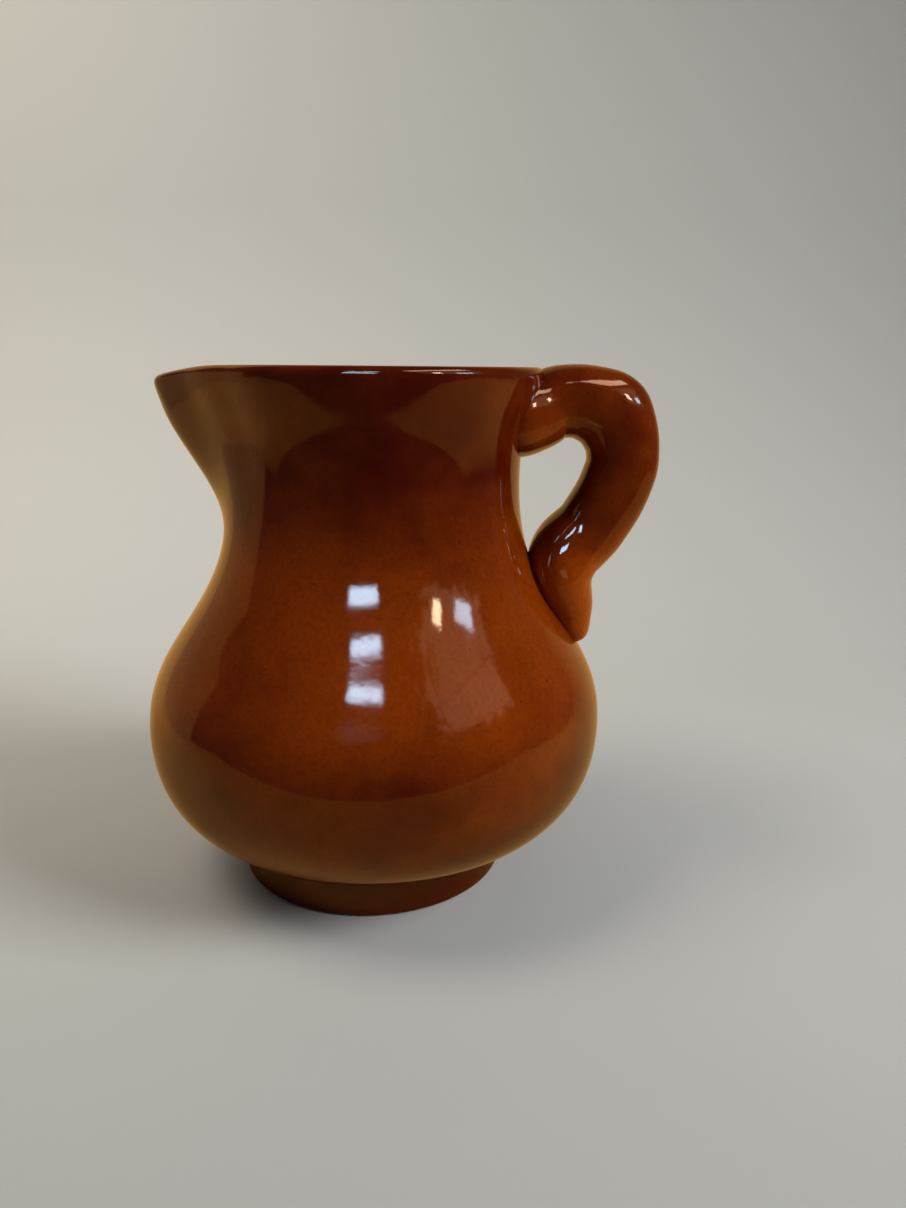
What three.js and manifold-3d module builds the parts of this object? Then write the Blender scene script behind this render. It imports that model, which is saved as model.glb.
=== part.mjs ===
// Glazed earthenware jug: a thrown, pear-shaped body with a pulled spout, a foot ring luted under
// it, a pulled strap handle, and the luting clay that is worked into the handle's two joints.
//
// Millimetres, +Z up. The jug stands on the plane z = 0, the spout points along -X and the handle
// along +X. The origin is the middle of the jug's bounding box, at its base, so the axis on which
// the body was thrown stands at x = throwingAxisX, y = 0.

import * as THREE from "three";
import { ParametricGeometry } from "three/addons/geometries/ParametricGeometry.js";
import { mergeVertices } from "three/addons/utils/BufferGeometryUtils.js";
import Module from "manifold-3d";

const wasm = await Module();
wasm.setup();

// ---- Driving dimensions -------------------------------------------------------------------------

const rimHeight = 140; // base to the top of the lip
const rimRadius = 44.9; // outside of the lip
const lipRadius = 2.1; // round edge of the lip, half its thickness
const lipStep = 0.5; // how far the lip stands proud of the wall under it
const neckRadius = 39; // outside of the waist
const neckDrop = 30.4; // top of the lip down to the waist
const bellyRadius = 62.9; // outside of the widest ring
const bellyHeight = 45.1; // base to the widest ring
const creaseRadius = 34.7; // where the belly meets the foot
const creaseAngle = 15; // degrees that the belly rises at as it leaves the foot
const rimFlare = 17; // degrees that the wall leans out under the lip
const wall = 4.2;
const floorThickness = 6.5;

// Fullness of the thrown curve: how far each stretch keeps the direction it starts or ends with,
// as a share of the run between the two rings that it joins.
const creaseFullness = 0.88;
const bellyFullnessBelow = 0.4;
const bellyFullnessAbove = 0.37;
const neckFullnessBelow = 0.53;
const neckFullnessAbove = 0.55;
const rimFullness = 0.44;

const spoutPull = 13.7; // how far the lip is drawn out of round
const spoutDip = 2.9; // how far the spout's lip sinks
const spoutRoot = 16.6; // the pull begins this far below the waist
const spoutLipDepth = 10; // and is complete this far below the top of the lip
const spoutHalfAngle = 9.5; // degrees, how fast the pull dies away to each side
const spoutNoseAngle = 8; // degrees, roundness of the nose
const pinchDepth = 1; // the two finger dents beside the spout
const pinchAngle = 43; // degrees from the nose to a dent
const pinchSpread = 9;

const footHeight = 10.5; // base to the crease
const footLedge = 0.7; // top of the foot beyond the crease
const footSplay = 2; // base of the foot beyond its top
const footWidth = 6.4; // top of the foot, from its bore to its outside
const footEdgeRound = 1.2;
const footShift = 1.7; // the ring sits this far towards the spout
const recessDepth = 4; // base plane up to the underside of the floor

const strapThickness = 19.4; // handle, measured in the plane of the bend
const strapWidth = 20.5;
const strapSquareness = 2.5; // 2 is an ellipse, more is boxier
const fingerRoom = 17.9; // waist to the inside of the bend
const strapRise = 1; // top of the handle above the lip
const bendInside = 5.4; // radius of the inside of the bend
const strapShoulder = 2.7; // how far the outside of the bend stands proud of the strap
const strapBow = 0.9; // how far the stretch below the bend bows out
const landingDrop = 21.1; // waist down to where the strap meets the belly
const tongueDrop = 44.1; // waist down to where its tongue runs out
const upperJointReach = 10; // joint clay, out from the wall along the strap
const upperJointFlare = 4.2; // and to each side
const lowerJointReach = 13;
const lowerJointFlare = 3.6;
const rootLevel = 2.4; // the middle of the root, below the middle of the bend's top
const jointDepth = 1.8; // joint clay on the inner side of the strap

const luteGap = 0.3; // clearance between two pieces of clay

// Facets
const turnSteps = 60;
const strapSteps = 40;
const strapSides = 16;

// ---- Materials ----------------------------------------------------------------------------------

function glaze(color) {
  return new THREE.MeshStandardMaterial({ color, roughness: 0.12, metalness: 0 });
}

const bodyGlaze = glaze(0x8a3d0c);
const footGlaze = glaze(0x5e1f08);
const handleGlaze = glaze(0x7c340b);
const jointGlaze = glaze(0x9a4a10);

// ---- Solids -------------------------------------------------------------------------------------

const v2 = (x, y) => new THREE.Vector2(x, y);

// A closed three.js mesh, as a solid. Triangles that have shrunk to a line at a pole are left out.
function solidOf(geometry) {
  const bare = geometry.clone();
  bare.deleteAttribute("normal");
  bare.deleteAttribute("uv");
  const merged = mergeVertices(bare, 1e-4);
  const corners = Array.from(merged.index.array);
  const kept = [];
  for (let i = 0; i < corners.length; i += 3) {
    const [a, b, c] = corners.slice(i, i + 3);
    if (a !== b && b !== c && c !== a) kept.push(a, b, c);
  }
  const mesh = new wasm.Mesh({
    numProp: 3,
    vertProperties: new Float32Array(merged.attributes.position.array),
    triVerts: new Uint32Array(kept),
  });
  return new wasm.Manifold(mesh);
}

// A solid of revolution about the vertical axis from a closed outline of (radius, height) points.
function turned(outline, steps = turnSteps) {
  const lathe = new THREE.LatheGeometry(outline, steps);
  lathe.rotateX(Math.PI / 2);
  return lathe;
}

function meshOf(name, solid, material) {
  const { vertProperties, triVerts } = solid.getMesh();
  const geometry = new THREE.BufferGeometry();
  geometry.setAttribute("position", new THREE.BufferAttribute(vertProperties, 3));
  geometry.setIndex(new THREE.BufferAttribute(triVerts, 1));
  geometry.computeVertexNormals();
  const mesh = new THREE.Mesh(geometry, material);
  mesh.name = name;
  return mesh;
}

// ---- The thrown curve ---------------------------------------------------------------------------

const radians = THREE.MathUtils.degToRad;

const neckHeight = rimHeight - neckDrop;

// One stretch of the outside between two rings: it leaves the first at one angle above the
// horizontal and comes into the second at another, each for its share of the run.
function stretch(from, fromAngle, fromRun, to, toAngle, toRun) {
  const heading = (angle) => v2(Math.cos(radians(angle)), Math.sin(radians(angle)));
  const out = heading(fromAngle).multiplyScalar(fromRun);
  const back = heading(toAngle).multiplyScalar(toRun);
  return new THREE.CubicBezierCurve(from, from.clone().add(out), to.clone().sub(back), to);
}

// Outside of the body, from the crease above the foot up to the underside of the lip.
function thrownCurve(lowerSteps, upperSteps, neckSteps) {
  const crease = v2(creaseRadius, footHeight);
  const belly = v2(bellyRadius, bellyHeight);
  const neck = v2(neckRadius, neckHeight);
  const rim = v2(rimRadius - lipStep, rimHeight - 2 * lipRadius);
  const swell = bellyRadius - creaseRadius;
  const lowerRise = bellyHeight - footHeight;
  const upperRise = neckHeight - bellyHeight;
  const neckRise = rim.y - neckHeight;
  const lower = stretch(
    crease, creaseAngle, creaseFullness * swell,
    belly, 90, bellyFullnessBelow * lowerRise,
  );
  const upper = stretch(
    belly, 90, bellyFullnessAbove * upperRise,
    neck, 90, neckFullnessBelow * upperRise,
  );
  const flare = stretch(
    neck, 90, neckFullnessAbove * neckRise,
    rim, 90 - rimFlare, rimFullness * neckRise,
  );
  return [
    ...lower.getPoints(lowerSteps),
    ...upper.getPoints(upperSteps).slice(1),
    ...flare.getPoints(neckSteps).slice(1),
  ];
}

// The same curve moved sideways by a distance: inwards for the inner wall, outwards for clearance.
function offsetCurve(points, distance) {
  return points.map((point, i) => {
    const before = points[Math.max(i - 1, 0)];
    const after = points[Math.min(i + 1, points.length - 1)];
    const along = after.clone().sub(before).normalize();
    return v2(point.x + along.y * distance, point.y - along.x * distance);
  });
}

// Half a circle over the top of the lip, from its outside to its inside.
function lipArc(growth, steps) {
  const radius = lipRadius + growth;
  const centre = v2(rimRadius - lipRadius, rimHeight - lipRadius);
  const points = [];
  for (let i = 0; i <= steps; i += 1) {
    const angle = -radians(20) + (radians(220) * i) / steps;
    points.push(v2(centre.x + radius * Math.cos(angle), centre.y + radius * Math.sin(angle)));
  }
  return points;
}

// ---- Body ---------------------------------------------------------------------------------------

const footTopRadius = creaseRadius + footLedge;
const footRadius = footTopRadius + footSplay;
const footBore = footTopRadius - footWidth;
const plugRadius = footBore - luteGap; // the underside of the floor plugs the bore
const floorTop = recessDepth + floorThickness;

function bodyOutline() {
  const outside = thrownCurve(6, 7, 5);
  const inside = offsetCurve(outside, -wall).slice(1, -1).reverse();
  return [
    v2(0, recessDepth),
    v2(plugRadius, recessDepth),
    v2(plugRadius, footHeight),
    ...outside,
    ...lipArc(0, 6),
    ...inside,
    v2(creaseRadius - wall, footHeight + wall),
    v2(plugRadius - 2 * wall, floorTop),
    v2(0, floorTop),
  ];
}

const pullStart = neckHeight - spoutRoot;

// How strongly the pull of the spout acts, from 0 at its foot to 1 near the lip.
function pullAtHeight(z) {
  return THREE.MathUtils.smoothstep(z, pullStart, rimHeight - spoutLipDepth);
}

// How strongly it acts round the rim, from 1 at the nose to 0 well to the side.
function pullAtAngle(degrees) {
  const soft = Math.hypot(degrees, spoutNoseAngle) - spoutNoseAngle;
  return Math.exp(-soft / spoutHalfAngle);
}

function pinchAtAngle(degrees) {
  return Math.exp(-(((Math.abs(degrees) - pinchAngle) / pinchSpread) ** 2));
}

// Draws the wall out into the spout, dips its lip and presses in the dents beside it.
function pullSpout(geometry) {
  const position = geometry.attributes.position;
  for (let i = 0; i < position.count; i += 1) {
    const [x, y, z] = [position.getX(i), position.getY(i), position.getZ(i)];
    const radius = Math.hypot(x, y);
    if (z > pullStart) {
      const side = THREE.MathUtils.radToDeg(Math.atan2(y, -x));
      const drawn = spoutPull * pullAtAngle(side) - pinchDepth * pinchAtAngle(side);
      const scale = (radius + drawn * pullAtHeight(z)) / radius;
      position.setXYZ(i, x * scale, y * scale, z - spoutDip * pullAtAngle(side) * pullAtHeight(z));
    }
  }
  return geometry;
}

const body = solidOf(pullSpout(turned(bodyOutline())));

// The body's outside with the clearance added, solid right through: what is cut out of any piece
// that is joined to the wall.
const wallSeat = solidOf(
  turned([
    v2(0, footHeight),
    v2(creaseRadius, footHeight),
    ...offsetCurve(thrownCurve(6, 7, 5), luteGap).slice(1, -1),
    ...lipArc(luteGap, 6).slice(0, 4),
    v2(0, rimHeight + luteGap),
  ]),
);

// ---- Foot ring ----------------------------------------------------------------------------------

function footOutline() {
  const top = footHeight - luteGap;
  const round = footEdgeRound;
  const inner = footBore / 2;
  const rounded = [];
  for (let i = 0; i <= 3; i += 1) {
    const angle = (Math.PI / 2) * (i / 3);
    rounded.push(v2(footRadius - round + round * Math.sin(angle), round - round * Math.cos(angle)));
  }
  return [v2(inner, 0), ...rounded, v2(footTopRadius, top), v2(inner, top), v2(inner, 0)];
}

const footBoreCutter = new THREE.CylinderGeometry(footBore, footBore, 3 * footHeight, turnSteps);
footBoreCutter.rotateX(Math.PI / 2);

const footRing = solidOf(turned(footOutline()).translate(-footShift, 0, 0)).subtract(
  solidOf(footBoreCutter),
);

// ---- Handle -------------------------------------------------------------------------------------

const half = strapThickness / 2;

// Radius of the thrown curve's outside at a height.
function wallRadiusAt(z) {
  const points = thrownCurve(24, 36, 24);
  const next = points.findIndex((point, i) => i > 0 && point.y >= z);
  const [a, b] = [points[next - 1], points[next]];
  return THREE.MathUtils.mapLinear(z, a.y, b.y, a.x, b.x);
}

const landingLift = 0.97; // middle of the strap off the belly, in half thicknesses, as it lands
const tongueLift = 0.37; // and half way down the tongue
const strapReach = neckRadius + fingerRoom + strapThickness; // axis to the outside of the bend
const strapTop = rimHeight + strapRise;
const bendRadius = bendInside + half; // of the middle line
const bendX = strapReach - half - bendRadius;
const bendHeight = strapTop - half - bendRadius;
const rootHeight = strapTop - half - rootLevel;
const landingHeight = neckHeight - landingDrop;
const tongueHeight = neckHeight - tongueDrop;

// Middle line of the strap: out of the neck, over the bend, down and in to the shoulder of the
// belly, and then down along the belly to where the tongue runs out.
function strapPath() {
  const buried = 2 * wall;
  const midTongue = THREE.MathUtils.lerp(tongueHeight, landingHeight, 0.4);
  const at = (x, z) => new THREE.Vector3(x, 0, z);
  const bend = [];
  for (let angle = 95; angle >= -25; angle -= 30) {
    const [across, up] = [Math.cos(radians(angle)), Math.sin(radians(angle))];
    bend.push(at(bendX + bendRadius * across, bendHeight + bendRadius * up));
  }
  const landing = at(wallRadiusAt(landingHeight) + landingLift * half, landingHeight);
  const run = landing.clone().sub(bend.at(-1));
  const outward = at(-run.z, run.x).setLength(strapBow);
  return new THREE.CatmullRomCurve3([
    at(wallRadiusAt(rootHeight) - buried, rootHeight - 1),
    at(wallRadiusAt(rootHeight) + 1, rootHeight + 0.5),
    ...bend,
    bend.at(-1).clone().addScaledVector(run, 0.5).add(outward),
    landing,
    at(wallRadiusAt(midTongue) + tongueLift * half, midTongue),
    at(wallRadiusAt(tongueHeight) - 0.5, tongueHeight),
  ]);
}

const path = strapPath();
const pathLength = path.getLength();

// Share of the path's length at which its middle comes out of the wall, and at which it lands.
const pathPoints = path.getSpacedPoints(200);
const rootShare = pathPoints.findIndex((point) => point.x > wallRadiusAt(point.z)) / 200;
const landingShare = pathPoints.findLastIndex((point) => point.z > landingHeight) / 200;

// And at which it is half way round the bend.
const shoulderShare =
  pathPoints.findIndex((point) => point.x - bendX > Math.abs(point.z - bendHeight)) / 200;

// Half a closed round end: 0 at the very end, 1 from a given share of the length onwards.
function endRound(along, share) {
  const left = 1 - Math.min(along / share, 1);
  return Math.sqrt(1 - left * left);
}

// The strap's two half sizes at a share of its length, and how far its outside stands proud. It
// is widest and flattest at the root, and thins and narrows as it is pressed down into a tongue.
function strapHalves(along) {
  const { smoothstep } = THREE.MathUtils;
  const tongue = smoothstep(along, landingShare - 0.06, 1);
  const root = 1 - smoothstep(along, 0, 0.28);
  return {
    thick: half * (1 - 0.05 * root - 0.5 * tongue),
    wide: (strapWidth / 2) * (1 + 0.1 * root - 0.2 * tongue),
    proud: strapShoulder * Math.exp(-(((along - shoulderShare) / 0.06) ** 2)),
  };
}

// A closed skin round the path. Its first end is buried in the wall, and is the blunter one. grow
// adds to the strap's half sizes: thick on its hidden, inner side, wide on both flanks, and all
// round by a clearance.
function strapSkin(from, to, endShare, grow) {
  const power = 2 / strapSquareness;
  const bulge = (value) => Math.sign(value) * Math.abs(value) ** power;
  const surface = (u, v, target) => {
    const along = from + (to - from) * v;
    const centre = path.getPointAt(along);
    const tangent = path.getTangentAt(along);
    const { thick, wide, proud } = strapHalves(along);
    const extra = grow(along);
    const closed = Math.min(endRound(v, endShare / 2), endRound(1 - v, endShare));
    const angle = -2 * Math.PI * u;
    const [inOut, sideways] = [bulge(Math.cos(angle)), bulge(Math.sin(angle))];
    const oneSided = inOut < 0 ? extra.thick : proud;
    const across = closed * (thick + extra.all + oneSided) * inOut;
    target.set(
      centre.x - tangent.z * across,
      closed * (wide + extra.all + extra.wide) * sideways,
      centre.z + tangent.x * across,
    );
  };
  return solidOf(new ParametricGeometry(surface, strapSides, strapSteps));
}

const none = () => ({ thick: 0, wide: 0, all: 0 });
const cleared = () => ({ thick: 0, wide: 0, all: luteGap });

const wholeStrap = strapSkin(0, 1, 0.1, none);
const strapSeat = strapSkin(0, 1, 0.1, cleared).add(wholeStrap);
const handle = wholeStrap.subtract(wallSeat);

// Luting clay worked into a joint: thickest at the wall and feathered out along the strap.
function jointClay(from, to, wallShare, flareWidth) {
  const flare = (along) => {
    const fade = (1 - Math.abs(along - wallShare) / (to - from)) ** 2;
    return { thick: jointDepth * fade, wide: flareWidth * fade, all: 0 };
  };
  return strapSkin(from, to, 0.12, flare).subtract(strapSeat).subtract(wallSeat);
}

const upperReach = upperJointReach / pathLength;
const lowerReach = lowerJointReach / pathLength;
const upperClay = jointClay(0, rootShare + upperReach, rootShare, upperJointFlare);
const lowerClay = jointClay(
  landingShare - lowerReach,
  landingShare + 1.4 * lowerReach,
  landingShare,
  lowerJointFlare,
);

// ---- Assembly -----------------------------------------------------------------------------------

const spoutReach = Math.max(bellyRadius, rimRadius + spoutPull);
const throwingAxisX = (spoutReach - strapReach) / 2;

const jug = new THREE.Group();
jug.position.x = throwingAxisX;
jug.add(
  meshOf("body", body, bodyGlaze),
  meshOf("foot_ring", footRing, footGlaze),
  meshOf("handle", handle, handleGlaze),
  meshOf("upper_joint_clay", upperClay, jointGlaze),
  meshOf("lower_joint_clay", lowerClay, jointGlaze),
);

export default jug;
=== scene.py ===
import math

import bmesh
import bpy
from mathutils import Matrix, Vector


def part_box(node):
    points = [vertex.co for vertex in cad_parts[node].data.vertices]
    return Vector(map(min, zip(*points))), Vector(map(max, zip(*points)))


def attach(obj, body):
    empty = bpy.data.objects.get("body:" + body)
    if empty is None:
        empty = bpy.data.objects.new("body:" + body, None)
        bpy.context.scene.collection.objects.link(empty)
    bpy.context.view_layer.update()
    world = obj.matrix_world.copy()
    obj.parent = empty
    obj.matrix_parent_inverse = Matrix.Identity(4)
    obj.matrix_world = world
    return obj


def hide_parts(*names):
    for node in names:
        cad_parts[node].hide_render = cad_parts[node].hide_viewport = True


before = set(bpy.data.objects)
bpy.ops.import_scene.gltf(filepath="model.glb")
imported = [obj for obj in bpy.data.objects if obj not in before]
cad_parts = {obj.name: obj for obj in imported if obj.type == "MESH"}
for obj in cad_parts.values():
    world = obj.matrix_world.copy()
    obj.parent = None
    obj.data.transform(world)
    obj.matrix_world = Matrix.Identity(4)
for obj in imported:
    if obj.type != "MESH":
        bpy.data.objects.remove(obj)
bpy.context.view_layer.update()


# ---- Camera -------------------------------------------------------------------------------------
# Held a hand's length in front of the jug, level with its rim and tipped down at it, so that the
# top of the lip is seen edge on.

MM = 0.001
belly_radius = 62.9 * MM
axis_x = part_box("body")[1].x - belly_radius

bpy.ops.object.camera_add(
    location=(axis_x + 21.4 * MM, -246.5 * MM, 139.6 * MM), rotation=(math.radians(75.4), 0, 0)
)
camera = bpy.context.object
camera.rotation_euler.rotate_axis("Z", math.radians(0.5))
camera.data.lens = 27.03
camera.data.sensor_width = 36
camera.data.clip_start = 0.01
bpy.context.scene.camera = camera
bpy.context.scene.view_settings.view_transform = "Standard"


# ---- Body ---------------------------------------------------------------------------------------
# Red earthenware, thrown on the wheel in one piece: a full belly, a waist and a flared rim with a
# rounded lip. While it was soft the lip was drawn out between two fingers into the spout.

wheel_sides = 72
rim_height = 140 * MM
rim_radius = 44.9 * MM
rim_lean = 73  # degrees above level, just under the lip
rim_fullness = 0.44
lip_radius = 2.1 * MM
lip_step = 0.5 * MM
lip_start = -20
lip_turn = 220
neck_radius = 39 * MM
neck_height = rim_height - 30.4 * MM
neck_fullness_above = 0.55
neck_fullness_below = 0.53
belly_height = 45.1 * MM
belly_fullness_above = 0.37
belly_fullness_below = 0.4
crease_radius = 34.7 * MM
crease_angle = 15
crease_fullness = 0.88
foot_height = 10.5 * MM
foot_ledge = 0.7 * MM
foot_width = 6.4 * MM
foot_bore = crease_radius + foot_ledge - foot_width
lute_gap = 0.3 * MM
wall = 4.2 * MM
floor_thickness = 6.5 * MM
recess_depth = 4 * MM
hub_radius = 1 * MM
plug_radius = foot_bore - lute_gap
plug_round = 0.6 * MM
hair = 0.01 * MM


def rising(radius, height, degrees, run):
    """The point reached from one on the wall by going a distance at an angle above level."""
    angle = math.radians(degrees)
    return radius + run * math.cos(angle), height + run * math.sin(angle)


def curve_through(start, leave, arrive, end, steps):
    """Points of one stretch of the wall, a cubic curve, without its last point."""
    points = []
    for step in range(steps):
        t = step / steps
        weights = ((1 - t) ** 3, 3 * t * (1 - t) ** 2, 3 * t**2 * (1 - t), t**3)
        knots = (start, leave, arrive, end)
        points.append(tuple(sum(w * knot[i] for w, knot in zip(weights, knots)) for i in (0, 1)))
    return points


def thrown_curve():
    """Outside of the wall, from the crease above the foot up to the underside of the lip."""
    swell = belly_radius - crease_radius
    low_rise = belly_height - foot_height
    high_rise = neck_height - belly_height
    rim_z = rim_height - 2 * lip_radius
    rim_x = rim_radius - lip_step
    neck_rise = rim_z - neck_height
    return [
        *curve_through(
            (crease_radius, foot_height),
            rising(crease_radius, foot_height, crease_angle, crease_fullness * swell),
            (belly_radius, belly_height - belly_fullness_below * low_rise),
            (belly_radius, belly_height),
            steps=10,
        ),
        *curve_through(
            (belly_radius, belly_height),
            (belly_radius, belly_height + belly_fullness_above * high_rise),
            (neck_radius, neck_height - neck_fullness_below * high_rise),
            (neck_radius, neck_height),
            steps=14,
        ),
        *curve_through(
            (neck_radius, neck_height),
            (neck_radius, neck_height + neck_fullness_above * neck_rise),
            rising(rim_x, rim_z, rim_lean, -rim_fullness * neck_rise),
            (rim_x, rim_z),
            steps=8,
        ),
        (rim_x, rim_z),
    ]


def set_in(points, distance):
    """The same curve moved a distance into the clay."""
    moved = []
    for i, (radius, height) in enumerate(points):
        before = points[max(i - 1, 0)]
        after = points[min(i + 1, len(points) - 1)]
        length = math.dist(before, after)
        along = (after[0] - before[0]) / length, (after[1] - before[1]) / length
        moved.append((radius - along[1] * distance, height + along[0] * distance))
    return moved


def lip_arc(steps):
    """Round edge of the lip, from its outside over the top to its inside."""
    points = []
    for step in range(steps + 1):
        angle = math.radians(lip_start + lip_turn * step / steps)
        radius = rim_radius - lip_radius + lip_radius * math.cos(angle)
        points.append((radius, rim_height - lip_radius + lip_radius * math.sin(angle)))
    return points


def pick(chosen):
    """Selects the vertices whose place passes the test."""
    bpy.ops.mesh.select_all(action="DESELECT")
    clay = bmesh.from_edit_mesh(bpy.context.object.data)
    for vertex in clay.verts:
        vertex.select = bool(chosen(vertex.co))
    clay.select_flush(True)
    bmesh.update_edit_mesh(bpy.context.object.data)


def raise_wall(name, centre_x, outline, closed=False):
    """Throws a form: a ring is laid on the wheel and raised, ring by ring, along its outline."""
    bpy.ops.object.select_all(action="DESELECT")
    radius, height = outline[0]
    bpy.ops.mesh.primitive_circle_add(
        vertices=wheel_sides, radius=radius, location=(centre_x, 0, height)
    )
    form = bpy.context.object
    form.name = name
    bpy.ops.object.transform_apply(location=True, rotation=True, scale=True)
    bpy.ops.object.mode_set(mode="EDIT")
    bpy.ops.mesh.select_mode(type="VERT")
    bpy.ops.mesh.select_all(action="SELECT")
    path = outline[1:] + ([outline[0]] if closed else [])
    for next_radius, next_height in path:
        bpy.ops.mesh.extrude_region_move(
            TRANSFORM_OT_translate={"value": (0, 0, next_height - height)}
        )
        grown = next_radius / radius
        bpy.ops.transform.resize(
            value=(grown, grown, 1), center_override=(centre_x, 0, next_height)
        )
        radius, height = next_radius, next_height
    if closed:
        bpy.ops.mesh.select_all(action="SELECT")
        bpy.ops.mesh.remove_doubles(threshold=hair)
    else:
        bpy.ops.mesh.edge_face_add()
        first_radius, first_height = outline[0]
        pick(
            lambda p: abs(p.z - first_height) < hair
            and math.hypot(p.x - centre_x, p.y) < first_radius + hair
        )
        bpy.ops.mesh.edge_face_add()
    bpy.ops.mesh.select_all(action="SELECT")
    bpy.ops.mesh.normals_make_consistent(inside=False)
    return form


def apply(form, kind, **settings):
    """Adds a modifier to a piece and applies it."""
    bpy.ops.object.select_all(action="DESELECT")
    form.select_set(True)
    bpy.context.view_layer.objects.active = form
    bpy.ops.object.modifier_add(type=kind)
    modifier = form.modifiers[-1]
    for key, value in settings.items():
        setattr(modifier, key, value)
    bpy.ops.object.modifier_apply(modifier=modifier.name)


outside = thrown_curve()
floor_top = recess_depth + floor_thickness
body = raise_wall(
    "glazed_body",
    axis_x,
    [
        (hub_radius, recess_depth),
        (plug_radius * 0.6, recess_depth),
        (plug_radius - plug_round, recess_depth),
        (plug_radius, recess_depth + plug_round),
        (plug_radius, foot_height - 0.4 * MM),
        (plug_radius + 0.4 * MM, foot_height),
        (crease_radius - 1 * MM, foot_height),
        (crease_radius - 0.3 * MM, foot_height),
        *outside,
        *lip_arc(8),
        *reversed(set_in(outside, wall)[2:-2]),
        (plug_radius - 2 * wall, floor_top),
        (plug_radius - 4 * wall, floor_top),
        (hub_radius, floor_top),
    ],
)

spout_pull = 13.7 * MM
spout_dip = 2.9 * MM
spout_half_angle = 9.5
spout_nose_angle = 8
spout_widest = 80  # degrees from the nose, past which the rim stays round
pull_start = neck_height - 16.6 * MM
pull_full = rim_height - 10 * MM
pinch = 1 * MM
pinch_angle = 43
pinch_width = 9


def ease(value, low, high):
    """0 below one value and 1 above another, smooth between them."""
    share = min(max((value - low) / (high - low), 0), 1)
    return share * share * (3 - 2 * share)


def pull_at_angle(degrees):
    """How far the spout is drawn out at an angle from its nose, as a share of the most."""
    past_nose = math.hypot(degrees, spout_nose_angle) - spout_nose_angle
    return math.exp(-past_nose / spout_half_angle)


def pull_spout():
    """Draws each pair of wall columns beside the nose outwards and down, a ring at a time."""
    clay = bmesh.from_edit_mesh(body.data)
    pairs = {}
    for vertex in clay.verts:
        x, y, z = vertex.co
        side = abs(math.degrees(math.atan2(y, axis_x - x)))
        if z > pull_start and side < spout_widest:
            radius = math.hypot(x - axis_x, y)
            key = round(side), round(radius / MM, 3), round(z / MM, 3)
            pairs.setdefault(key, []).append(vertex.index)
    for (side, radius, z), pair in pairs.items():
        clay = bmesh.from_edit_mesh(body.data)
        clay.verts.ensure_lookup_table()
        bpy.ops.mesh.select_all(action="DESELECT")
        for index in pair:
            clay.verts[index].select = True
        clay.select_flush(True)
        force = ease(z * MM, pull_start, pull_full)
        pinched = pinch * math.exp(-(((side - pinch_angle) / pinch_width) ** 2))
        drawn = force * (spout_pull * pull_at_angle(side) - pinched)
        grown = 1 + drawn / (radius * MM)
        bpy.ops.transform.resize(value=(grown, grown, 1), center_override=(axis_x, 0, 0))
        bpy.ops.transform.translate(value=(0, 0, -spout_dip * pull_at_angle(side) * force))


pull_spout()
bpy.ops.object.mode_set(mode="OBJECT")
apply(body, "SUBSURF", levels=2, render_levels=2)
bpy.ops.object.shade_smooth()


class Wire:
    """A shader socket that can be used in sums."""

    def __init__(self, tree, socket=None):
        self.tree = tree
        self.socket = socket

    def node(self, kind, settings, values, out=0):
        """Adds a node, with its settings and the values or wires of its sockets."""
        made = self.tree.nodes.new(kind)
        for key, value in settings.items():
            setattr(made, key, value)
        pairs = values.items() if isinstance(values, dict) else enumerate(values)
        for key, value in pairs:
            if isinstance(value, Wire):
                value.feed(made.inputs[key])
            elif value is not None:
                made.inputs[key].default_value = value
        return Wire(self.tree, made.outputs[out])

    def feed(self, socket):
        self.tree.links.new(self.socket, socket)

    def math(self, operation, *values):
        return self.node("ShaderNodeMath", {"operation": operation}, values)

    def __add__(self, other):
        return self.math("ADD", self, other)

    def __sub__(self, other):
        return self.math("SUBTRACT", self, other)

    def __rsub__(self, other):
        return self.math("SUBTRACT", other, self)

    def __mul__(self, other):
        return self.math("MULTIPLY", self, other)

    def __truediv__(self, other):
        return self.math("DIVIDE", self, other)

    __radd__ = __add__
    __rmul__ = __mul__

    def between(self, low, high):
        """0 below one value and 1 above another, smooth between them."""
        settings = {"interpolation_type": "SMOOTHSTEP"}
        return self.node("ShaderNodeMapRange", settings, [self, low, high])

    def noise(self, size, detail=2.0, roughness=0.5):
        """Noise over this place, with lumps about a size across."""
        values = [self, None, 1 / size, detail, roughness]
        return self.node("ShaderNodeTexNoise", {"noise_dimensions": "3D"}, values)

    def spots(self, spacing):
        """Distance from this place to the nearest of scattered spots."""
        return self.node("ShaderNodeTexVoronoi", {"feature": "F1"}, [self, None, 1 / spacing])

    def blend(self, under, over):
        """One colour laid over another where this mask is 1."""
        values = {0: self, 6: under, 7: over}
        return self.node("ShaderNodeMix", {"data_type": "RGBA"}, values, out=2)


def colour(red, green, blue):
    return (red, green, blue, 1)


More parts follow.
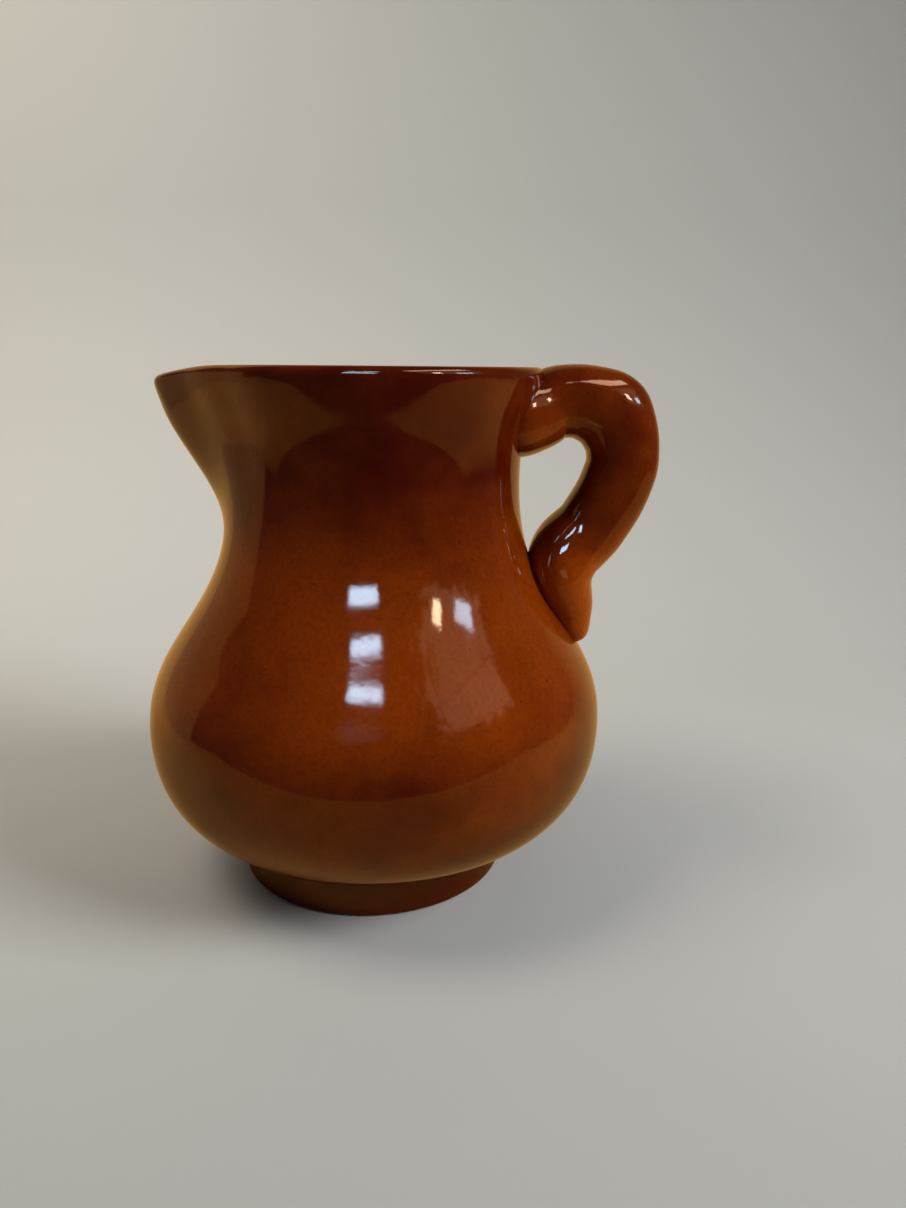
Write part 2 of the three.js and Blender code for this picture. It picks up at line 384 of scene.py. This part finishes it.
def honey_glaze(name, bright, deep, depth, height_bands):
    """A glossy, transparent honey glaze over red clay, deeper in colour where it lies thicker.

    A height band is a height at which the colour starts to deepen, one at which it is deepest, and
    by how much; a negative amount makes the colour lighter instead.
    """
    material = bpy.data.materials.new(name)
    material.use_nodes = True
    tree = material.node_tree
    shader = tree.nodes["Principled BSDF"]
    place = Wire(tree).node("ShaderNodeTexCoord", {}, [], out="Object")
    height = place.node("ShaderNodeSeparateXYZ", {}, [place], out="Z")

    thick = (place.noise(28 * MM, 3.0, 0.55) - 0.5) * 1.3 + depth
    # Height bands make the colour darker or lighter between given heights.
    for start, full, more in height_bands:
        thick = thick + height.between(start, full) * more
    base = thick.between(0.0, 1.0).blend(bright, deep)
    mottle = place.noise(1.1 * MM, 4.0, 0.7).between(0.35, 0.75)
    base = (mottle * 0.35).blend(base, deep)
    chosen = place.noise(2.3 * MM, 1.0, 0.5).between(0.56, 0.60)
    speck = (1 - place.spots(3.2 * MM).between(0.05, 0.14)) * chosen
    base = (speck * 0.8).blend(base, colour(0.05, 0.006, 0.002))
    base.feed(shader.inputs["Base Color"])

    film = place.noise(9 * MM, 2.0, 0.5).between(0.3, 0.8)
    (film * 0.04 + 0.045).feed(shader.inputs["Roughness"])
    ripple = place.noise(7 * MM, 2.0, 0.45) * 0.5 + place.noise(1.8 * MM, 4.0, 0.7) * 0.22
    values = {"Strength": 0.25, "Distance": 0.25 * MM, "Height": ripple}
    place.node("ShaderNodeBump", {}, values).feed(shader.inputs["Normal"])
    shader.inputs["IOR"].default_value = 1.5
    shader.inputs["Specular Tint"].default_value = colour(1.0, 0.7, 0.45)
    return material


body_finish = honey_glaze(
    "honey_glaze",
    bright=colour(0.25, 0.037, 0.0008),
    deep=colour(0.052, 0.0016, 0.0005),
    depth=0.24,
    # Darker up the neck from 88 mm to 116 mm, and darker down the lower belly from 66 mm to 38 mm.
    height_bands=[(88 * MM, 116 * MM, 0.52), (66 * MM, 38 * MM, 0.40)],
)
body.data.materials.append(body_finish)
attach(body, "root")
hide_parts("body")


# ---- Foot ring ----------------------------------------------------------------------------------
# A flared ring of the same clay, turned and luted under the belly a little off centre. Its glaze
# colour is painted shade, far darker than the body's, and its standing edge is worn round.

foot_top = crease_radius + foot_ledge
foot_radius = foot_top + 2 * MM
foot_x = axis_x - 1.7 * MM
foot_top_z = foot_height - lute_gap
edge_round = 1.2 * MM
bore_clear = foot_bore + 1.7 * MM
bore_round = 0.6 * MM
foot_edge = []
for step in range(5):
    angle = math.radians(90 * step / 4)
    radius = foot_radius - edge_round + edge_round * math.sin(angle)
    foot_edge.append((radius, edge_round - edge_round * math.cos(angle)))
foot = raise_wall(
    "glazed_foot_ring",
    foot_x,
    [
        (bore_clear + bore_round, 0),
        ((bore_clear + foot_radius) / 2, 0),
        *foot_edge,
        (foot_radius - 0.55 * MM, 3.6 * MM),
        (foot_radius - 1.15 * MM, 6.5 * MM),
        (foot_radius - 1.75 * MM, foot_top_z - 0.9 * MM),
        (foot_top - 0.1 * MM, foot_top_z - 0.15 * MM),
        (foot_top - 0.6 * MM, foot_top_z),
        (bore_clear + bore_round, foot_top_z),
        (bore_clear, foot_top_z - bore_round),
        (bore_clear, foot_top_z / 2),
        (bore_clear, bore_round),
    ],
    closed=True,
)
bpy.ops.object.mode_set(mode="OBJECT")
apply(foot, "SUBSURF", levels=2, render_levels=2)
bpy.ops.object.shade_smooth()
# The dark colours of the foot's glaze are painted shade: the shadow by the floor and the shadowed
# floor seen in its gloss.
foot_finish = honey_glaze(
    "foot_glaze_painted_shade",
    bright=colour(0.075, 0.005, 0.001),
    deep=colour(0.03, 0.001, 0.0005),
    depth=0.45,
    height_bands=[],
)
foot.data.materials.append(foot_finish)
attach(foot, "root")
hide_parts("foot_ring")


# ---- Handle -------------------------------------------------------------------------------------
# A strap pulled from a lump of clay, round in section and a little wider than thick, then bent over
# and pressed on: its root is worked into the neck, and its end is thumbed down on to the shoulder.

strap_half = 9.7 * MM
strap_wide = 10.25 * MM
strap_length = 97 * MM
strap_reach = neck_radius + 37.3 * MM
strap_top = rim_height + 1 * MM
strap_bow = 0.9 * MM
bend_radius = 15.1 * MM
bend_x = strap_reach - strap_half - bend_radius
bend_z = strap_top - strap_half - bend_radius
landing_share = 0.755
shoulder_share = 0.305
knuckle_share = 0.90
strap_rings = 44
strap_sides = 16


def swell_at(share, middle, width):
    """A smooth swelling of the strap about a share of its length."""
    return math.exp(-(((share - middle) / width) ** 2))


def strap_section(share):
    """Half thickness, half width and outward shift of the strap at a share of its length."""
    root = 1 - ease(share, 0, 0.28)
    tongue = ease(share, landing_share - 0.06, 1)
    collar = swell_at(max(share, 0.05), 0.05, 0.075)
    spread = ease(share, 0.64, 0.8) * (1 - ease(share, 0.8, 0.97))
    thick = strap_half * (1 - 0.05 * root - 0.5 * tongue)
    wide = strap_wide * (1 + 0.1 * root - 0.2 * tongue)
    under = 3.0 * MM * collar + 1.5 * MM * spread
    shoulder = 2.7 * MM * swell_at(share, shoulder_share, 0.06)
    knuckle = 0.75 * MM * swell_at(share, knuckle_share, 0.05)
    outer = shoulder + knuckle
    half_wide = wide + 4.2 * MM * collar + 3.4 * MM * spread
    return thick + (under + outer) / 2, half_wide, (outer - under) / 2


bpy.ops.object.select_all(action="DESELECT")
bpy.ops.mesh.primitive_circle_add(vertices=strap_sides, radius=1, location=(0, 0, 0))
handle = bpy.context.object
handle.name = "glazed_handle"
bpy.ops.object.mode_set(mode="EDIT")
bpy.ops.mesh.select_mode(type="VERT")
# The round is filled out towards its corners.
for fullness, corner in ((1.038, 22.5), (1.075, 45)):
    pick(
        lambda p: min(
            abs(math.degrees(math.atan2(abs(p.y), abs(p.x))) - corner),
            abs(math.degrees(math.atan2(abs(p.x), abs(p.y))) - corner),
        ) < 1
    )
    bpy.ops.transform.resize(value=(fullness, fullness, 1), center_override=(0, 0, 0))
bpy.ops.mesh.select_all(action="SELECT")
end_rounding = (0.35, 0.62, 0.85, 0.96)
root_shares = (0, 0.002, 0.008, 0.018)
tip_shares = (1, 0.994, 0.982, 0.964)
middle_start, middle_run = 0.03, 0.915
thick, wide, shift = strap_section(0)
thick, wide = thick * end_rounding[0], wide * end_rounding[0]
bpy.ops.transform.resize(value=(thick, wide, 1), center_override=(0, 0, 0))
bpy.ops.transform.translate(value=(shift, 0, 0))
share = 0
for ring in range(1, strap_rings + 1):
    left = strap_rings - ring
    if ring < 4:
        next_share, close = root_shares[ring], end_rounding[ring]
    elif left < 4:
        next_share, close = tip_shares[left], end_rounding[left]
    else:
        next_share = middle_start + (ring - 4) / (strap_rings - 8) * middle_run
        close = 1
    next_thick, next_wide, next_shift = strap_section(next_share)
    next_thick, next_wide = next_thick * close, next_wide * close
    rise = (next_share - share) * strap_length
    bpy.ops.mesh.extrude_region_move(
        TRANSFORM_OT_translate={"value": (next_shift - shift, 0, rise)}
    )
    bpy.ops.transform.resize(
        value=(next_thick / thick, next_wide / wide, 1),
        center_override=(next_shift, 0, next_share * strap_length),
    )
    thick, wide, shift, share = next_thick, next_wide, next_shift, next_share
bpy.ops.mesh.edge_face_add()
pick(lambda p: p.z < hair)
bpy.ops.mesh.edge_face_add()
bpy.ops.mesh.select_all(action="SELECT")
bpy.ops.mesh.normals_make_consistent(inside=False)
bpy.ops.object.mode_set(mode="OBJECT")


def wall_radius(z):
    """Outside radius of the thrown wall at a height."""
    for (r0, z0), (r1, z1) in zip(outside, outside[1:]):
        if z0 <= z <= z1:
            return r0 + (r1 - r0) * (z - z0) / (z1 - z0)
    return outside[-1][0]


root_z = strap_top - strap_half - 2.4 * MM
landing_z = neck_height - 21.1 * MM
tongue_z = neck_height - 44.1 * MM
mid_tongue_z = tongue_z + (landing_z - tongue_z) * 0.4
bend = []
for turn in (95, 65, 35, 5, -25):
    across, up = math.cos(math.radians(turn)), math.sin(math.radians(turn))
    bend.append((bend_x + bend_radius * across, bend_z + bend_radius * up))
bend_end = Vector(bend[-1])
landing = Vector((wall_radius(landing_z) + 0.97 * strap_half, landing_z))
run = landing - bend_end
bow = Vector((-run.y, run.x)).normalized() * strap_bow
path_points = [
    (wall_radius(root_z) - 2 * wall, root_z - 1 * MM),
    (wall_radius(root_z) + 1 * MM, root_z + 0.5 * MM),
    *bend,
    bend_end + run / 2 + bow,
    landing,
    (wall_radius(mid_tongue_z) + 0.37 * strap_half, mid_tongue_z),
    (wall_radius(tongue_z) - 0.5 * MM, tongue_z),
]
bpy.ops.curve.primitive_bezier_curve_add(location=(0, 0, 0))
strap_path = bpy.context.object
strap_path.name = "strap_path"
spline = strap_path.data.splines[0]
spline.bezier_points.add(len(path_points) - len(spline.bezier_points))
spline.resolution_u = 24
for knot, (x, z) in zip(spline.bezier_points, path_points):
    knot.handle_left_type = knot.handle_right_type = "AUTO"
    knot.co = (axis_x + x, 0, z)
    knot.tilt = math.radians(90)
strap_path.data.twist_mode = "MINIMUM"
strap_path.data.use_stretch = True
strap_path.data.use_deform_bounds = True
bpy.context.view_layer.update()
apply(handle, "SUBSURF", levels=2, render_levels=2)
apply(handle, "CURVE", object=strap_path, deform_axis="POS_Z")
bpy.data.objects.remove(strap_path)

# The strap is worked into the wall as deep as this, and cut away further in.
worked_in = 1.3 * MM
cut_radius = rim_radius - 1.6 * MM
cut_height = rim_height + 8 * MM
core = raise_wall(
    "wall_core",
    axis_x,
    [
        (hub_radius, foot_height),
        *set_in(outside, worked_in),
        (cut_radius, rim_height - lip_radius),
        (cut_radius, cut_height),
        (hub_radius, cut_height),
    ],
)
bpy.ops.object.mode_set(mode="OBJECT")
apply(handle, "BOOLEAN", operation="DIFFERENCE", object=core, solver="EXACT")
bpy.data.objects.remove(core)
bpy.ops.object.shade_smooth()
handle_finish = honey_glaze(
    "handle_glaze",
    bright=colour(0.33, 0.050, 0.0008),
    deep=colour(0.055, 0.0022, 0.0006),
    depth=0.58,
    # Slightly darker towards the top of the handle, from 118 mm to 136 mm, and much lighter towards
    # its lower end, from 96 mm down to 82 mm.
    height_bands=[(118 * MM, 136 * MM, 0.10), (96 * MM, 82 * MM, -0.75)],
)
handle.data.materials.append(handle_finish)
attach(handle, "root")
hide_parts("handle", "upper_joint_clay", "lower_joint_clay")


# ---- Floor and backdrop -------------------------------------------------------------------------
# Pale paper laid on the table, swept up behind the jug and folded up again far in front of it. The
# gloss of the jug looks past it at two sheets of its own: a warm one that ends just in front of
# the jug and a low one that stands at its left.


def unseen(card, *rays):
    """Hides a card from kinds of rays."""
    for ray in rays:
        setattr(card, "visible_" + ray, False)


def paper(name, shade):
    material = bpy.data.materials.new(name)
    material.use_nodes = True
    shader = material.node_tree.nodes["Principled BSDF"]
    shader.inputs["Base Color"].default_value = shade
    shader.inputs["Roughness"].default_value = 0.9
    shader.inputs["Specular IOR Level"].default_value = 0.1
    return material


def lay_sheet(name, near_left, far_right, shade):
    """A flat sheet of paper on the table, left selected in edit mode."""
    bpy.ops.object.select_all(action="DESELECT")
    bpy.ops.mesh.primitive_plane_add(size=1, location=(0, 0, 0))
    sheet = bpy.context.object
    sheet.name = name
    sheet.data.materials.append(paper(name, shade))
    bpy.ops.object.mode_set(mode="EDIT")
    bpy.ops.mesh.select_mode(type="VERT")
    width, depth = far_right[0] - near_left[0], far_right[1] - near_left[1]
    bpy.ops.transform.resize(value=(width, depth, 1), center_override=(0, 0, 0))
    middle = (near_left[0] + width / 2, near_left[1] + depth / 2, 0)
    bpy.ops.transform.translate(value=middle)
    return sheet


def fold_on(*step):
    """Carries the chosen edge of a sheet on by a step."""
    bpy.ops.mesh.extrude_region_move(TRANSFORM_OT_translate={"value": step})


def sweep(name, front, width, shade):
    """A sheet that lies on the table from a front edge and sweeps up behind the jug."""
    back, radius, steps, height = 0.14, 0.24, 10, 1.0
    sheet = lay_sheet(name, (-width / 2, front), (width / 2, back), shade)
    pick(lambda p: p.y > back - 0.04)
    run = radius * math.radians(90 / steps)
    for step in range(steps):
        tilt = math.radians(90 * (step + 0.5) / steps)
        fold_on(0, run * math.cos(tilt), run * math.sin(tilt))
    fold_on(0, 0, height)
    bpy.ops.object.mode_set(mode="OBJECT")
    bpy.ops.object.shade_smooth()
    return sheet


floor_front = -0.9
floor = sweep("paper_floor", floor_front, 2.4, colour(0.60, 0.60, 0.57))
bpy.ops.object.mode_set(mode="EDIT")
pick(lambda p: p.y < floor_front + 0.1)
fold_on(0, -0.15, 0.06)
fold_on(0, -0.06, 0.15)
fold_on(0, 0, 0.9)
bpy.ops.object.mode_set(mode="OBJECT")
unseen(floor, "glossy")

warm_front = -0.178
just_clear = (0, -0.002, 0.0001)
warm_sheet = sweep("gloss_floor", warm_front, 1.2, colour(0.74, 0.44, 0.15))
bpy.ops.object.mode_set(mode="EDIT")
bpy.ops.mesh.select_all(action="SELECT")
bpy.ops.transform.translate(value=just_clear)
bpy.ops.object.mode_set(mode="OBJECT")
side_x, side_height = -0.45, 0.24
side_sheet = lay_sheet(
    "gloss_side", (side_x, -0.02), (side_x + 0.001, 0.37), colour(0.64, 0.38, 0.16)
)
pick(lambda p: p.x < side_x + 0.0005)
fold_on(0, 0, side_height)
bpy.ops.object.mode_set(mode="OBJECT")
for sheet in (warm_sheet, side_sheet):
    unseen(sheet, "camera", "diffuse", "shadow")


# ---- Light --------------------------------------------------------------------------------------
# A large soft light from the right and a warmer one from the upper left, aimed at the backdrop.
# The panes only lie in the gloss: windows behind the camera and to its right, a lamp on the
# ceiling and a dimly lit curtain.


def soft_light(name, place, target, spread, power, tint):
    soft_side = 0.42
    bpy.ops.object.light_add(type="AREA", location=place)
    lamp = bpy.context.object
    lamp.name = name
    lamp.data.shape = "RECTANGLE"
    lamp.data.size = lamp.data.size_y = soft_side
    lamp.data.spread = math.radians(spread)
    lamp.data.energy = power
    lamp.data.color = tint
    aim = Vector(target) - Vector(place)
    lamp.rotation_euler = aim.to_track_quat("-Z", "Y").to_euler()
    unseen(lamp, "camera", "glossy")


def pane(name, place, size, brightness, tint, ragged, facing=(-0.005, -0.05, 0.075)):
    """A glowing card that only the gloss sees: a window with torn, uneven edges."""
    spare = 1.5
    bpy.ops.object.select_all(action="DESELECT")
    bpy.ops.mesh.primitive_plane_add(size=1, location=(0, 0, 0))
    card = bpy.context.object
    card.name = name
    bpy.ops.object.mode_set(mode="EDIT")
    bpy.ops.transform.resize(value=(size[0] * spare, size[1] * spare, 1))
    bpy.ops.object.mode_set(mode="OBJECT")
    aim = Vector(facing) - Vector(place)
    card.rotation_euler = aim.to_track_quat("Z", "Y").to_euler()
    card.location = place

    material = bpy.data.materials.new(name)
    material.use_nodes = True
    tree = material.node_tree
    tree.nodes.remove(tree.nodes["Principled BSDF"])
    spot = Wire(tree).node("ShaderNodeTexCoord", {}, [], out="Object")
    x = spot.node("ShaderNodeSeparateXYZ", {}, [spot], out="X")
    y = spot.node("ShaderNodeSeparateXYZ", {}, [spot], out="Y")
    across = x.math("ABSOLUTE", x) / (size[0] / 2)
    up = y.math("ABSOLUTE", y) / (size[1] / 2)
    torn = (spot.noise(min(size) / 4, 5.0, 0.7) - 0.5) * ragged * 2
    reach = across.math("MAXIMUM", across, up) + torn
    fade_start, fade_end = 0.97, 1.03
    full = colour(*(share * brightness for share in tint))
    shade = reach.between(fade_start, fade_end).blend(full, colour(0, 0, 0))
    glow = spot.node("ShaderNodeEmission", {}, [shade])
    clear = spot.node("ShaderNodeBsdfTransparent", {}, [])
    lit = reach.math("LESS_THAN", reach, fade_end)
    shown = lit.node("ShaderNodeMixShader", {}, [lit, clear, glow])
    shown.feed(tree.nodes["Material Output"].inputs["Surface"])
    card.data.materials.append(material)
    unseen(card, "camera", "diffuse", "shadow", "transmission")


middle = (axis_x, 0, 0.07)
back_left = (-0.28, 0.32, 0.18)
soft_light("right_light", (0.76, -0.30, 0.54), middle, 90, 2.0, (0.95, 0.98, 1.0))
soft_light("left_light", (-0.40, -0.05, 0.75), back_left, 110, 1.7, (1.0, 0.9, 0.78))

sky = (0.48, 0.95, 1.9)
lamplight = (1.0, 0.95, 0.9)
pink = (1.0, 0.8, 0.7)
pane("high_window", (-0.038, -0.600, 0.639), (0.22, 0.048), 26, sky, 0.4)
pane("low_window", (-0.067, -0.745, 0.467), (0.26, 0.10), 26, sky, 0.4)
pane("warm_window", (0.518, -0.485, 0.516), (0.075, 0.125), 30, lamplight, 0.2)
pane("side_window", (0.665, -0.291, 0.480), (0.15, 0.10), 16, (0.6, 1.05, 1.9), 0.6)
pane("ceiling_lamp", (0.367, -0.212, 0.748), (0.50, 0.13), 9, (1.0, 0.85, 0.85), 0.5)
pane("curtain", (0.650, -0.400, 0.600), (0.62, 0.38), 1.1, pink, 1.2)

# Two flags close to the jug, which hide the windows from a part of its gloss.
low_spot = (-0.005, -0.059, 0.061)
right_spot = (0.019, -0.050, 0.065)
pane("low_flag", (-0.008, -0.0885, 0.0786), (0.036, 0.018), 0, pink, 0, low_spot)
pane("right_flag", (0.0438, -0.0625, 0.0835), (0.036, 0.016), 1.1, pink, 0, right_spot)

world = bpy.data.worlds.new("room")
bpy.context.scene.world = world
world.use_nodes = True
world.node_tree.nodes["Background"].inputs["Color"].default_value = colour(0.05, 0.05, 0.055)
